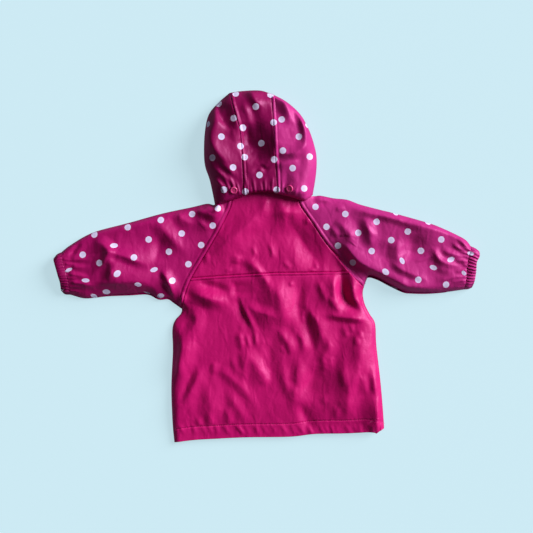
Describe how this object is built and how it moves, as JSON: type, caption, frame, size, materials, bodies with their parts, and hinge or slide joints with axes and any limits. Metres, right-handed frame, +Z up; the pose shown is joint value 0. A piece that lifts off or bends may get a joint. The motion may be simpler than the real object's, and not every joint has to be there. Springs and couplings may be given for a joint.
{
  "type": "toddler raincoat, laid face down",
  "caption": "Hooded toddler raincoat laid flat on its front: plain back with a yoke seam, dotted raglan sleeves, gathered cuffs and a dotted hood held by snaps.",
  "frame": {"origin": "centre of the bounding box in plan, on the surface that the coat lies on", "axes": "+X across the coat towards the viewer's right when it is seen from above with the hood away from the viewer, +Y from the hem towards the hood, +Z up from the surface"},
  "size_m": [0.701, 0.5812, 0.0371],
  "materials": {
    "plain_cloth": "knitted polyester with a satin polyurethane coat, magenta",
    "dotted_cloth": "the same coated cloth, printed with pale dots",
    "snap_plastic": "moulded acetal snap parts, pink"
  },
  "bodies": {
    "root": {"back_yoke": "plain_cloth", "back_lower": "plain_cloth", "front_left": "plain_cloth", "front_right": "plain_cloth", "front_placket": "plain_cloth", "neck_band": "plain_cloth", "sleeve_back_left": "dotted_cloth", "sleeve_back_right": "dotted_cloth", "sleeve_front_left": "dotted_cloth", "sleeve_front_right": "dotted_cloth", "cuff_left": "dotted_cloth", "cuff_right": "dotted_cloth", "hood_centre": "dotted_cloth", "hood_side_left": "dotted_cloth", "hood_side_right": "dotted_cloth", "hood_snap_left": "snap_plastic", "hood_snap_right": "snap_plastic", "neck_stud_left": "snap_plastic", "neck_stud_right": "snap_plastic", "front_snap_1": "snap_plastic", "front_snap_2": "snap_plastic", "front_snap_3": "snap_plastic", "front_snap_4": "snap_plastic", "front_snap_5": "snap_plastic"}
  },
  "joints": []
}
